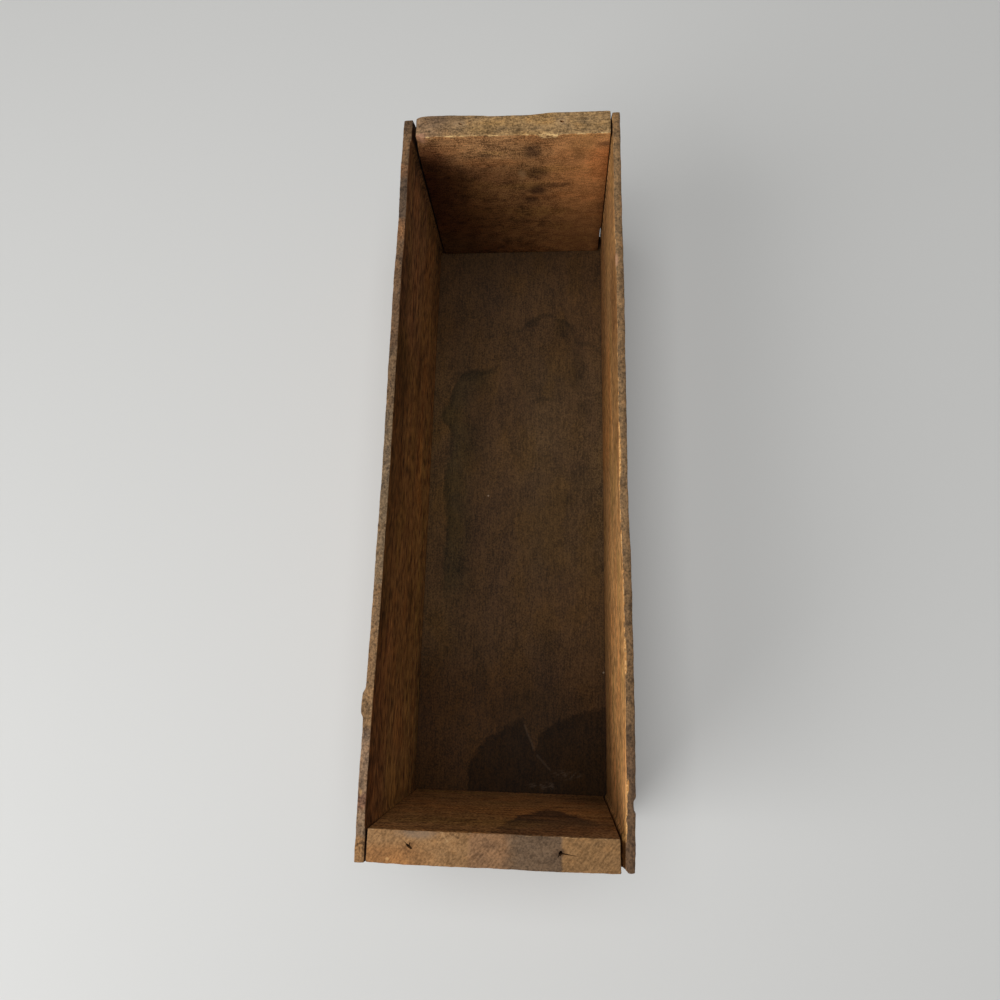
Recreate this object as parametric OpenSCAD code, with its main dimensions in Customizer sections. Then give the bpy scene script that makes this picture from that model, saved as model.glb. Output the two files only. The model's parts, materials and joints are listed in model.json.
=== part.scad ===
// Open wooden cheese box, of the size that held a five-pound loaf.
// Two thin side boards and a thin bottom board are nailed to two thick end boards. The sides lap
// over the ends, and the bottom lies under both. The lid was nailed on and is gone: its nail holes
// are left in the tops of the end boards, and the old joints have opened a little.
// Units are millimetres. X runs across the box, Y along it with the near end at -Y, and Z up.
// The origin is the centre of the underside.

/* [Box] */
// Length over the side boards
box_length = 298; // [220:1:400]
// Width over the side boards
box_width = 94; // [80:1:160]
// Height of the end boards above the bottom board
end_height = 86; // [72:1:140]

/* [Boards] */
// Thickness of the two side boards
side_thick = 3.2; // [2.6:0.1:6]
// Thickness of the two end boards
end_thick = 10.3; // [8:0.1:18]
// Thickness of the bottom board
bottom_thick = 4; // [3:0.1:8]
// How far the side boards stop below the tops of the end boards
side_drop = 0.8; // [0:0.1:3]
// How far the bottom board stops short of the box at each end
bottom_setback = 1.6; // [0:0.1:2.5]
// Radius worn onto the long arrises of every board
arris_r = 0.6; // [0.2:0.1:1.2]

/* [Opened joints] */
// Gap between the left side board and the near end board
gap_near_left = 1; // [0:0.1:2.5]
// Gap between the right side board and the near end board
gap_near_right = 1.6; // [0:0.1:2.5]
// Gap between the left side board and the far end board
gap_far_left = 2; // [0:0.1:2.5]
// Gap between the right side board and the far end board
gap_far_right = 1.5; // [0:0.1:2.5]

/* [Nails] */
// Length of a nail from the top of its head to its point
nail_length = 25; // [18:0.5:32]
// Diameter of a nail's shank
shank_d = 1.7; // [1.2:0.1:2.2]
// Diameter of a nail's head
head_d = 4.4; // [3.4:0.1:5.5]
// Thickness of a nail's head at its rim
head_thick = 0.6; // [0.4:0.1:0.9]
// Height of the cone between a nail's head and its shank
head_cone = 0.5; // [0.2:0.1:0.8]
// Length of a nail's point
point_length = 3; // [2:0.1:5]
// How deep the heads are driven below the face of the board
head_sink = 0.3; // [0.1:0.1:0.6]
// Clearance round a nail in the hole that it made
nail_clearance = 0.02; // [0.01:0.01:0.05]
// Number of nails through a side board into an end board
side_nails = 3; // [2:1:4]
// Distance of the outermost side nails from the long edges of the side board
side_nail_margin = 18; // [16:0.5:24]
// Distance between the two nails through the bottom board into an end board
bottom_nail_pitch = 50; // [24:1:60]
// How far the side nails are driven inside, and the bottom nails outside, an end's mid-plane
nail_stagger = 1.2; // [1.2:0.1:1.8]

/* [Holes of the missing lid] */
// Diameter of the holes that the lid's nails left
lid_hole_d = 1.8; // [1.4:0.1:2.4]
// Depth of those holes
lid_hole_depth = 15; // [10:0.5:16]
// Distance of the near pair from the near end of the box
near_lid_inset = 5.2; // [3.5:0.1:5.5]
// Distance of the far pair from the far end of the box
far_lid_inset = 3.9; // [3.5:0.1:5.5]
// Distance between the two holes in the near end board
near_lid_pitch = 51; // [30:1:56]
// Distance of the near pair's centre from the box's mid-plane
near_lid_shift = -3; // [-5:0.5:5]
// Distance between the two holes in the far end board
far_lid_pitch = 44; // [30:1:56]

/* [Wear] */
// How much higher the far end board stands at its left than at its right
far_rise = 1.4; // [0:0.1:3]
// How far its left corner is worn down
corner_drop = 1.4; // [0:0.1:2]
// How far along its top the worn corner reaches
corner_run = 9; // [5:0.5:15]
// Depth of the chip out of the right side board's rim
chip_depth = 0.9; // [0.4:0.1:1.6]
// Length of that chip along the rim
chip_length = 6; // [4:0.5:10]
// Distance of that chip from the near end of the box
chip_from_end = 21; // [14:0.5:40]

/* [Hidden] */
$fn = 48;

NEAR = -1;
FAR = 1;
LEFT = -1;
RIGHT = 1;

side_height = end_height - side_drop;
side_top = bottom_thick + side_height;
end_top = bottom_thick + end_height;
inner_width = box_width - 2 * side_thick;
bottom_length = box_length - 2 * bottom_setback;
end_middle = (box_length - end_thick) / 2;
side_nail_y = end_middle - nail_stagger;
bottom_nail_y = end_middle + nail_stagger;
side_nail_step = (side_height - 2 * side_nail_margin) / (side_nails - 1);
// How far a cut runs out past the face that it starts from
overrun = 1;
// Radius of a ball that cuts a chip of that length and depth into a straight edge
chip_ball_r = (pow(chip_length / 2, 2) + pow(chip_depth, 2)) / (2 * chip_depth);

wood_warm = "#7a5531";
wood_pale = "#8a6843";
wood_dark = "#463222";
rust = "#4c3d33";

// What a circle leaves of the corner of a square, with the square's corner at the origin
module corner_waste(r) {
    difference() {
        translate([-overrun, -overrun])
            square(r + overrun);
        translate([r, r])
            circle(r);
        translate([r, -2 * overrun])
            square(r + 3 * overrun);
        translate([-2 * overrun, r])
            square(r + 3 * overrun);
    }
}

// A board's cross-section, centred, with all four arrises worn round
module worn_section(width, height) {
    difference() {
        square([width, height], center = true);
        for (sx = [-1, 1], sy = [-1, 1])
            scale([sx, sy])
                translate([-width / 2, -height / 2])
                    corner_waste(arris_r);
    }
}

// A board with its grain along X, from its lowest corner
module board_along_x(size) {
    translate([0, size.y / 2, size.z / 2])
        rotate([90, 0, 90])
            linear_extrude(size.x)
                worn_section(size.y, size.z);
}

// A board with its grain along Y, from its lowest corner
module board_along_y(size) {
    translate([size.x / 2, size.y, size.z / 2])
        rotate([90, 0, 0])
            linear_extrude(size.y)
                worn_section(size.x, size.z);
}

// A nail's outline from its axis, head at the origin, point along +Y
module nail_outline(extra = 0, above_head = 0) {
    head_r = head_d / 2 + extra;
    shank_r = shank_d / 2 + extra;
    blunt_r = shank_r / 5;
    polygon([
        [0, -above_head],
        [head_r, -above_head],
        [head_r, head_thick],
        [shank_r, head_thick + head_cone],
        [shank_r, nail_length - point_length],
        [blunt_r, nail_length + extra],
        [0, nail_length + extra]
    ]);
}

// A nail that points along +Z
module nail() {
    rotate_extrude()
        nail_outline();
}

// The hole that a nail makes, open above its head
module nail_hole() {
    rotate_extrude()
        nail_outline(extra = nail_clearance, above_head = head_sink + overrun);
}

// Where the nails through one side board into one end board start
module at_side_nails(end, side) {
    for (i = [0 : side_nails - 1])
        translate([side * (box_width / 2 - head_sink),
                   end * side_nail_y,
                   bottom_thick + side_nail_margin + i * side_nail_step])
            rotate([0, -90 * side, 0])
                children();
}

// Where the nails through the bottom board into one end board start
module at_bottom_nails(end) {
    for (side = [LEFT, RIGHT])
        translate([side * bottom_nail_pitch / 2, end * bottom_nail_y, head_sink])
            children();
}

// The holes of the lid's nails in the top of one end board
module lid_holes(end, inset, pitch, shift) {
    for (side = [LEFT, RIGHT])
        translate([shift + side * pitch / 2, end * (box_length / 2 - inset), end_top - lid_hole_depth])
            cylinder(h = lid_hole_depth + far_rise + overrun, d = lid_hole_d);
}

// What is planed off above a board's top. The top runs left from the origin.
module planed_off(length, height) {
    translate([-length, -end_thick, 0])
        cube([length + overrun, 2 * end_thick, height]);
}

// What is worn off the two arrises of that top
module worn_off(length) {
    for (face = [-1, 1])
        translate([-length, face * end_thick / 2, 0])
            rotate([90, 0, 90])
                linear_extrude(length + overrun)
                    scale([-face, -1])
                        corner_waste(arris_r);
}

// An end board with its nail holes. Its top rises to the left, and its top left corner is worn down.
module end_board(end, gap_left, gap_right, lid_inset, lid_pitch, lid_shift = 0, rise = 0, drop = 0) {
    left = gap_left - inner_width / 2;
    right = inner_width / 2 - gap_right;
    width = right - left;
    corner_start = end_top + rise * (1 - corner_run / width);
    corner_end = end_top + rise - drop;
    blank_height = end_height + rise + overrun;
    difference() {
        translate([left, end * end_middle - end_thick / 2, bottom_thick])
            board_along_x([width, end_thick, blank_height]);
        translate([right, end * end_middle, end_top])
            rotate([0, atan2(rise, width), 0]) {
                planed_off(width + overrun, rise + 2 * overrun);
                worn_off(width + overrun);
            }
        translate([left + corner_run, end * end_middle, corner_start])
            rotate([0, -atan2(corner_start - corner_end, corner_run), 0])
                planed_off(corner_run + overrun, drop + 2 * overrun);
        for (side = [LEFT, RIGHT])
            at_side_nails(end, side)
                nail_hole();
        at_bottom_nails(end)
            nail_hole();
        lid_holes(end, lid_inset, lid_pitch, lid_shift);
    }
}

// A side board with its nail holes
module side_board(side) {
    difference() {
        translate([side * (box_width - side_thick) / 2 - side_thick / 2, -box_length / 2, bottom_thick])
            board_along_y([side_thick, box_length, side_height]);
        for (end = [NEAR, FAR])
            at_side_nails(end, side)
                nail_hole();
    }
}

module bottom_board() {
    color(wood_dark)
        difference() {
            translate([-box_width / 2, -bottom_length / 2, 0])
                board_along_y([box_width, bottom_length, bottom_thick]);
            for (end = [NEAR, FAR])
                at_bottom_nails(end)
                    nail_hole();
        }
}

module near_end() {
    color(wood_pale)
        end_board(NEAR, gap_near_left, gap_near_right, near_lid_inset, near_lid_pitch, near_lid_shift);
}

module far_end() {
    color(wood_pale)
        end_board(FAR, gap_far_left, gap_far_right, far_lid_inset, far_lid_pitch,
                  rise = far_rise, drop = corner_drop);
}

module left_side() {
    color(wood_warm)
        side_board(LEFT);
}

module right_side() {
    color(wood_warm)
        difference() {
            side_board(RIGHT);
            translate([box_width / 2 + chip_ball_r - chip_depth, chip_from_end - box_length / 2, side_top])
                sphere(chip_ball_r);
        }
}

module side_nail_group(end, side) {
    color(rust)
        at_side_nails(end, side)
            nail();
}

module bottom_nail_group(end) {
    color(rust)
        at_bottom_nails(end)
            nail();
}

bottom_board();
near_end();
far_end();
left_side();
right_side();
side_nail_group(NEAR, LEFT);  // nails_near_left
side_nail_group(NEAR, RIGHT);  // nails_near_right
side_nail_group(FAR, LEFT);  // nails_far_left
side_nail_group(FAR, RIGHT);  // nails_far_right
bottom_nail_group(NEAR);  // nails_bottom_near
bottom_nail_group(FAR);  // nails_bottom_far
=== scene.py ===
"""An old wooden cheese box: five worn boards, rusty nails, and soft window light from the left."""
import json
import math

import bpy
from mathutils import Matrix, Vector

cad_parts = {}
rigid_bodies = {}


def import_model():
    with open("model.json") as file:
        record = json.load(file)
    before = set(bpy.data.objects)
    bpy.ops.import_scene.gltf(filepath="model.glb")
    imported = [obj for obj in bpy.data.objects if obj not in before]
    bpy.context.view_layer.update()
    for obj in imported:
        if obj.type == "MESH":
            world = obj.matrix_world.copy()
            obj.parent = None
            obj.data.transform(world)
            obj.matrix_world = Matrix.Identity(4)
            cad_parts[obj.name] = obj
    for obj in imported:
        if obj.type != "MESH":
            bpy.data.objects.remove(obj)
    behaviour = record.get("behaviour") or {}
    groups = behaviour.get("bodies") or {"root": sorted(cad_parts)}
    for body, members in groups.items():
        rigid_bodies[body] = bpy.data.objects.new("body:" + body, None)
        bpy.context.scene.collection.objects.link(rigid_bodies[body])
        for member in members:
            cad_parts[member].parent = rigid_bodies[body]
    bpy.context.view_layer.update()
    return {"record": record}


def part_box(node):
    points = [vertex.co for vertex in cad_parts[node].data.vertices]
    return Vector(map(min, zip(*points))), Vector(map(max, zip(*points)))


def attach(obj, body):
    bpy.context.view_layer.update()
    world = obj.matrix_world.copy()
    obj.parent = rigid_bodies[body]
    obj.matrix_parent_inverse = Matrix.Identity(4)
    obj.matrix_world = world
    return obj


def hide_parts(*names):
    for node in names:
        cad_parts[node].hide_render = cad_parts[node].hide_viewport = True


for leftover in list(bpy.data.objects):
    bpy.data.objects.remove(leftover)
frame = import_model()

MM = 0.001
X, Y, Z = 0, 1, 2


# Modelling by hand

def fade(value, start, end):
    """A number that goes smoothly from 0 at start to 1 at end."""
    share = max(0, min(1, (value - start) / (end - start)))
    return share * share * (3 - 2 * share)


def band(value, low, high, soft):
    """1 from low to high, and 0 outside them, with soft edges."""
    return fade(value, low - soft, low + soft) * fade(value, high + soft, high - soft)


def only(piece):
    """Selects one piece and nothing else."""
    bpy.ops.object.select_all(action="DESELECT")
    piece.select_set(True)
    bpy.context.view_layer.objects.active = piece


def open_with(piece, kind, rule):
    """Opens a piece in edit mode, with the vertices, edges or faces selected that a rule takes."""
    only(piece)
    bpy.ops.object.mode_set(mode="EDIT")
    bpy.ops.mesh.select_mode(type=kind)
    bpy.ops.mesh.select_all(action="DESELECT")
    bpy.ops.object.mode_set(mode="OBJECT")
    mesh = piece.data
    parts = {"VERT": mesh.vertices, "EDGE": mesh.edges, "FACE": mesh.polygons}
    for part in parts[kind]:
        part.select = rule(part)
    bpy.ops.object.mode_set(mode="EDIT")


def close():
    """Leaves edit mode."""
    bpy.ops.object.mode_set(mode="OBJECT")


def settle(piece, name):
    """Names a new piece, and puts its place and turn into its mesh."""
    piece.name = name
    piece.data.name = name
    only(piece)
    bpy.ops.object.transform_apply(location=True, rotation=True, scale=True)
    return piece


def block(name, low, high):
    """A plain block between two corners."""
    bpy.ops.object.select_all(action="DESELECT")
    bpy.ops.mesh.primitive_cube_add(size=1, location=(low + high) / 2, scale=high - low)
    return settle(bpy.context.object, name)


def evenly(low, high, step):
    """Places from low to high, both counted, about a step apart."""
    count = max(1, round((high - low) / step))
    return [low + (high - low) * i / count for i in range(count + 1)]


def cut(piece, axis, places):
    """Cuts a piece square to an axis at each of the places, so that it has edges there to shape."""
    normal = Vector()
    normal[axis] = 1
    open_with(piece, "VERT", lambda vertex: True)
    for place in places:
        bpy.ops.mesh.select_all(action="SELECT")
        bpy.ops.mesh.bisect(plane_co=normal * place, plane_no=normal)
    close()


def divide_lengthwise(piece, axis, shortest, cuts):
    """Divides each edge that runs along an axis and is at least that long."""
    vertices = piece.data.vertices

    def is_long(edge):
        start, end = (vertices[i].co for i in edge.vertices)
        return abs(start[axis] - end[axis]) > shortest

    open_with(piece, "EDGE", is_long)
    bpy.ops.mesh.subdivide(number_cuts=cuts)
    close()


def box_in_mm(node):
    """A node's lowest and highest corners in millimetres."""
    return [Vector(corner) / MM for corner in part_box(node)]


def weigh(piece, rule):
    """A vertex group, with the weight that a rule gives for each vertex's place in millimetres."""
    group = piece.vertex_groups.new(name="wear")
    for vertex in piece.data.vertices:
        group.add([vertex.index], rule(vertex.co / MM), "REPLACE")
    return group


def displace(piece, rule, depth, direction, middle, settings):
    """Applies a Displace modifier, with a depth in millimetres, to the vertices that a rule gives weight."""
    group = weigh(piece, rule)
    wear = piece.modifiers.new("wear", "DISPLACE")
    wear.vertex_group = group.name
    wear.strength = depth * MM
    wear.direction = direction
    wear.mid_level = middle
    for name, setting in settings.items():
        setattr(wear, name, setting)
    only(piece)
    bpy.ops.object.modifier_apply(modifier=wear.name)
    piece.vertex_groups.clear()


def shift(piece, axis, depth, rule):
    """Moves vertices along an axis, by a depth in millimetres times the weight that a rule gives."""
    displace(piece, rule, depth, "XYZ"[axis], 0, {})


def weather(piece, rule, depth, size, grain, stretch, direction="NORMAL", middle=0.5, contrast=1):
    """Wears a surface by a cloudy depth, in patches of a size in millimetres, stretched along the grain."""
    bpy.ops.object.empty_add()
    patch = bpy.context.object
    patch.scale[grain] = stretch
    texture = bpy.data.textures.new("wear", "CLOUDS")
    texture.noise_scale = size * MM
    texture.noise_depth = 2
    texture.contrast = contrast
    bpy.context.view_layer.update()
    clouds = {"texture": texture, "texture_coords": "OBJECT", "texture_coords_object": patch}
    displace(piece, rule, depth, direction, middle, clouds)
    bpy.data.objects.remove(patch)
    bpy.data.textures.remove(texture)


def drill(piece, cutter):
    """Cuts the shape of another piece out of a piece, and deletes that other piece."""
    hole = piece.modifiers.new("hole", "BOOLEAN")
    hole.operation = "DIFFERENCE"
    hole.solver = "MANIFOLD"
    hole.object = cutter
    only(piece)
    bpy.ops.object.modifier_apply(modifier=hole.name)
    bpy.data.objects.remove(cutter)


SHARP_ANGLE = math.radians(40)


def finish_edges(piece):
    """Shades a piece smooth, but for its sharp edges."""
    only(piece)
    bpy.ops.object.shade_smooth_by_angle(angle=SHARP_ANGLE)


# The boards

NEAR = -1
FAR = 1
LEFT = -1
RIGHT = 1
ARRIS = 0.3 * MM
ARRIS_STEPS = 3
# Upright boards are cut up every RIM_STEP down to RIM_REACH below their tops, and every FACE_STEP below that
RIM_STEP = 0.5 * MM
RIM_REACH = 4 * MM
FACE_STEP = 2.5 * MM
# The bottom board is cut up every BOTTOM_STEP through its thickness, and every BOTTOM_FACE_STEP across it
BOTTOM_STEP = 1 * MM
BOTTOM_FACE_STEP = 1.2 * MM
# How many cuts divide the length of each kind of board, and then each part of it again
SIDE_CUTS = 21
END_CUTS = 12
BOTTOM_CUTS = 15
# Stretches of each side board's rim that lean, in millimetres: how far to the right, from where and to where
LEFT_WARPS = ((-0.7, -150, -85), (0.2, -30, 12), (-0.5, 58, 85), (-0.35, 105, 160))
RIGHT_WARPS = ((0.95, -135, -36), (0.3, -20, 80))
# How softly a leaning stretch ends, and between which heights the lean grows, in millimetres
WARP_SOFT = 22
WARP_FOOT = 20
WARP_TOP = 89
# From where to where along the box, in millimetres, a side board's end grows longer
GROWTH_START = 140
GROWTH_END = 148.5


def sawn_board(node, grain, thickness, length_cuts, thickness_step, face_step):
    """A board of a node's size with broken arrises, cut up so finely that it can wear."""
    low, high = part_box(node)
    piece = block(node + "_worn", low, high)
    open_with(piece, "EDGE", lambda edge: True)
    bpy.ops.mesh.bevel(offset=ARRIS, segments=ARRIS_STEPS, affect="EDGES")
    close()
    width = X + Y + Z - grain - thickness
    cut(piece, thickness, evenly(low[thickness] + ARRIS, high[thickness] - ARRIS, thickness_step)[1:-1])
    if width == Z:
        top = high[Z] - ARRIS
        cut(piece, Z, evenly(top - RIM_REACH, top, RIM_STEP)[:-1])
        cut(piece, Z, evenly(low[Z] + ARRIS, top - RIM_REACH, face_step)[1:-1])
    else:
        cut(piece, width, evenly(low[width] + ARRIS, high[width] - ARRIS, face_step)[1:-1])
    length = high[grain] - low[grain] - 2 * ARRIS
    divide_lengthwise(piece, grain, 0.9 * length, length_cuts)
    divide_lengthwise(piece, grain, 0.9 * length / (length_cuts + 1), length_cuts)
    return piece


def wear_upright(piece, node, grain, lean):
    """Wears a board that stands on its edge: wavy faces, a wandering rim, and a rough and chipped top."""
    low, high = box_in_mm(node)
    thickness = X + Y - grain
    middle = (low + high) / 2
    half = (high - low) / 2

    def inside(spot, axis):
        """How far a spot lies inside the nearer of the two faces that are square to an axis."""
        return half[axis] - abs(spot[axis] - middle[axis])

    def faces(spot):
        return fade(spot.z, low.z + 1, low.z + 6)

    def upper_half(spot):
        return fade(spot.z, low.z + 40, high.z) * fade(inside(spot, grain), 8, 40)

    def top(spot):
        return fade(spot.z, high.z - 3, high.z - 0.8)

    def arrises(spot):
        return top(spot) * fade(inside(spot, thickness), 1, 0.2)

    def sawn_ends(spot):
        return fade(inside(spot, grain), 1.2, 0.2) * faces(spot)

    weather(piece, faces, depth=0.2, size=18, grain=grain, stretch=4)
    weather(piece, upper_half, depth=lean, size=24, grain=grain, stretch=2, direction="XYZ"[thickness])
    weather(piece, top, depth=0.25, size=14, grain=grain, stretch=2, direction="Z", middle=0.6)
    weather(piece, top, depth=0.16, size=1, grain=grain, stretch=1.6)
    weather(piece, arrises, depth=0.3, size=3.5, grain=grain, stretch=2, middle=0.6, contrast=1.4)
    weather(piece, sawn_ends, depth=0.18, size=1.6, grain=Z, stretch=2, middle=0.6)


def warp(piece, depth, start, end):
    """Leans a stretch of a side board's rim to the right by a depth, or to the left."""

    def leaning(spot):
        return fade(spot.z, WARP_FOOT, WARP_TOP) * band(spot.y, start, end, WARP_SOFT)

    shift(piece, X, depth, leaning)


def lengthen(piece, end, depth):
    """Lengthens a side board at one end of the box."""
    shift(piece, Y, end * depth, lambda spot: fade(end * spot.y, GROWTH_START, GROWTH_END))


left_side = sawn_board("left_side", Y, X, SIDE_CUTS, RIM_STEP, FACE_STEP)
right_side = sawn_board("right_side", Y, X, SIDE_CUTS, RIM_STEP, FACE_STEP)
near_end = sawn_board("near_end", X, Y, END_CUTS, RIM_STEP, FACE_STEP)
far_end = sawn_board("far_end", X, Y, END_CUTS, RIM_STEP, FACE_STEP)
bottom_board = sawn_board("bottom_board", Y, Z, BOTTOM_CUTS, BOTTOM_STEP, BOTTOM_FACE_STEP)
wear_upright(left_side, "left_side", Y, lean=0.4)
wear_upright(right_side, "right_side", Y, lean=0.4)
wear_upright(near_end, "near_end", X, lean=0.1)
wear_upright(far_end, "far_end", X, lean=0.1)
for stretch in LEFT_WARPS:
    warp(left_side, *stretch)
for stretch in RIGHT_WARPS:
    warp(right_side, *stretch)
lengthen(left_side, NEAR, 0.8)
lengthen(left_side, FAR, 0.7)
lengthen(right_side, NEAR, 0.2)
lengthen(right_side, FAR, 0.9)

END_LOW, END_HIGH = box_in_mm("far_end")
NEAR_TOP = box_in_mm("near_end")[1].z
LEFT_FACE = box_in_mm("left_side")[0].x
RIGHT_FACE = box_in_mm("right_side")[1].x
# How far along the far end board's top its worn corner reaches, in millimetres
CORNER_RUN = 8


def upper(spot):
    """The upper part of the far end board."""
    return fade(spot.z, 55, NEAR_TOP - 1)


def far_slope(spot):
    """How the top of the far end board falls away to the right."""
    run = (END_HIGH.x - spot.x) / (END_HIGH.x - END_LOW.x - CORNER_RUN)
    return upper(spot) * (1 - max(0, min(1, run)) ** 1.5)


def far_corner(spot):
    """How the top of the far end board falls away at its worn left corner."""
    run = max(0, min(1, 1 - (spot.x - END_LOW.x) / CORNER_RUN))
    return upper(spot) * (1 - math.sqrt(1 - run * run))


def bruised_corner(spot):
    """The inner top left corner of the far end board, which is knocked in."""
    return fade(spot.x, -38, END_LOW.x) * fade(spot.y, 142, 138.9) * fade(spot.z, 80, 88)


def back_bulge(spot):
    """Where the back of the far end board bulges under its top, on both sides of its middle."""
    right = fade(abs(spot.x - 30), 26, 12)
    left = fade(spot.x, -8, -18)
    return (right + 0.7 * left) * fade(spot.y, 144, 149) * fade(spot.z, 60, 88)


def near_bulge(spot):
    """The outer face of the near end board, which bulges under its top."""
    return fade(abs(spot.x), 60, 25) * fade(spot.y, -144, -149) * fade(spot.z, 40, 88)


def longer(side):
    """One end of an end board, which is a little longer above its foot."""
    return lambda spot: fade(side * spot.x, 39, 42) * fade(spot.z, 22, 27)


def broken_arris(spot):
    """The stretch of the far end board's inner arris that has broken away."""
    return fade(abs(spot.x - 16.5), 6, 4) * fade(spot.y, 140, 138.9) * fade(spot.z, 88, 90)


def splinter(spot):
    """A sliver that lifts off the outer face of the left side board, just under its rim."""
    return fade(abs(spot.y + 97.7), 5.5, 3) * fade(spot.x, LEFT_FACE + 0.8, LEFT_FACE) * fade(spot.z, 82, 86)


def notch(spot):
    """A notch in the outer arris of the right side board, close to the near end."""
    outside = fade(spot.x, RIGHT_FACE - 2, RIGHT_FACE - 0.2)
    return fade(abs(spot.y + 128.3), 2.8, 0.6) * outside * fade(spot.z, 82, 88)


def broken_corner(spot):
    """The inner corner that has broken off the near end of the right side board."""
    return fade(spot.x, 44.8, 44.1) * fade(spot.y, -147.4, -149) * fade(spot.z, 80, 87)


def lap(end, rim_start, rim_end, foot=0):
    """The inner face of a side board where it laps over an end board, below its rim and above a foot."""

    def rule(spot):
        face = fade(abs(spot.x), 45.2, 44)
        height = fade(spot.z, rim_start, rim_end) * fade(spot.z, foot, foot + 3)
        return face * height * fade(end * spot.y, 137.4, 139.4)

    return rule


def trodden(spot):
    """The upper face of the bottom board, inside the walls."""
    return fade(abs(spot.x), 43, 40) * fade(abs(spot.y), 138, 135) * fade(spot.z, 2, 3.8)


shift(far_end, Z, NEAR_TOP - END_HIGH.z, far_slope)
shift(far_end, Z, -1.7, far_corner)
shift(far_end, Y, 2, bruised_corner)
shift(far_end, Y, 1.05, back_bulge)
shift(far_end, X, 0.65, longer(RIGHT))
shift(near_end, X, 0.2, longer(RIGHT))
shift(near_end, X, -0.4, longer(LEFT))
shift(near_end, Y, -0.6, near_bulge)
shift(far_end, Z, -0.9, broken_arris)
shift(left_side, X, -0.9, splinter)
shift(right_side, X, -1, notch)
shift(right_side, Y, 1.3, broken_corner)
# Where the sides lap over the ends, their old wood has swollen, and nearly closes the gaps below the rim
shift(left_side, X, 0.45, lap(NEAR, 95, 87))
shift(left_side, X, 1.35, lap(FAR, 93, 84))
shift(right_side, X, -0.95, lap(NEAR, 88.6, 85))
shift(right_side, X, -0.55, lap(FAR, 92, 84, 12))
weather(bottom_board, trodden, depth=0.25, size=16, grain=Y, stretch=4, direction="Z", middle=0.9)


# The nails, and the holes that they and the lid's nails have made

NAIL_SHANK = 0.85 * MM
NAIL_BLUNT = 0.17 * MM
NAIL_HEAD_RIM = 0.6 * MM
NAIL_HEAD_CONE = 0.5 * MM
NAIL_POINT = 3 * MM
NAIL_SIDES = 24
# How far a nail's head is rounded, and its rings: how far each lies inside the last and stands above it
HEAD_ROUNDING = 0.18 * MM
HEAD_RINGS = ((0.5 * MM, 0.1 * MM), (0.6 * MM, 0.06 * MM))
# How far each nail of a group is turned about itself from the last one, so that they don't look alike
NAIL_TURN = math.radians(50)
HOLE_CLEARANCE = 0.02 * MM
# How far the shape of a hole stands out above the nail's head
OPEN_ABOVE = 1.5 * MM
# How many nails each group has, along which axis they stand in a row, and which way they point
NAIL_GROUPS = {
    "nails_near_left": (3, Z, Vector((1, 0, 0))),
    "nails_near_right": (3, Z, Vector((-1, 0, 0))),
    "nails_far_left": (3, Z, Vector((1, 0, 0))),
    "nails_far_right": (3, Z, Vector((-1, 0, 0))),
    "nails_bottom_near": (2, X, Vector((0, 0, 1))),
    "nails_bottom_far": (2, X, Vector((0, 0, 1))),
}
low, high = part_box("nails_bottom_near")
NAIL_HEAD = (high.y - low.y) / 2
NAIL_LENGTH = high.z - low.z


def nail_heads(group):
    """The places of the heads of a group of nails."""
    count, row, pointing = NAIL_GROUPS[group]
    low, high = (Vector(corner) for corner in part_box(group))
    head = (low + high) / 2
    for axis in (X, Y, Z):
        if pointing[axis]:
            head[axis] = low[axis] if pointing[axis] > 0 else high[axis]
    heads = []
    for i in range(count):
        place = head.copy()
        place[row] = low[row] + NAIL_HEAD + i * (high[row] - low[row] - 2 * NAIL_HEAD) / (count - 1)
        heads.append(place)
    return heads


def wire_nail(name, extra, above):
    """A nail that points along Z with its head at the origin. Extra and above make it a hole's shape."""
    bpy.ops.object.select_all(action="DESELECT")
    bpy.ops.mesh.primitive_cylinder_add(
        vertices=NAIL_SIDES,
        radius=NAIL_HEAD + extra,
        depth=NAIL_HEAD_RIM + above,
        location=(0, 0, (NAIL_HEAD_RIM - above) / 2),
    )
    nail = settle(bpy.context.object, name)
    open_with(nail, "FACE", lambda face: face.normal.z > 0.9)
    radius = NAIL_HEAD + extra
    shank = NAIL_LENGTH - NAIL_HEAD_RIM - NAIL_HEAD_CONE - NAIL_POINT
    for length, end in ((NAIL_HEAD_CONE, NAIL_SHANK), (shank, NAIL_SHANK), (NAIL_POINT, NAIL_BLUNT)):
        bpy.ops.mesh.extrude_region_move(TRANSFORM_OT_translate={"value": (0, 0, length)})
        bpy.ops.transform.resize(value=((end + extra) / radius, (end + extra) / radius, 1))
        radius = end + extra
    close()
    return nail


def dress_nail(nail):
    """Rounds the rim of a nail's head, raises its middle and dents it all over."""
    def on_rim(edge):
        start, end = (nail.data.vertices[i].co for i in edge.vertices)
        return max(start.z, end.z) < NAIL_HEAD_RIM / 4

    open_with(nail, "EDGE", on_rim)
    bpy.ops.mesh.bevel(offset=HEAD_ROUNDING, segments=2, affect="EDGES")
    close()
    open_with(nail, "FACE", lambda face: face.normal.z < -0.9 and face.center.length < 0.1 * MM)
    for inset, rise in HEAD_RINGS:
        bpy.ops.mesh.inset(thickness=inset)
        bpy.ops.transform.translate(value=(0, 0, -rise))
    close()
    weather(nail, lambda spot: 1, depth=0.16, size=1.1, grain=X, stretch=1)


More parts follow.
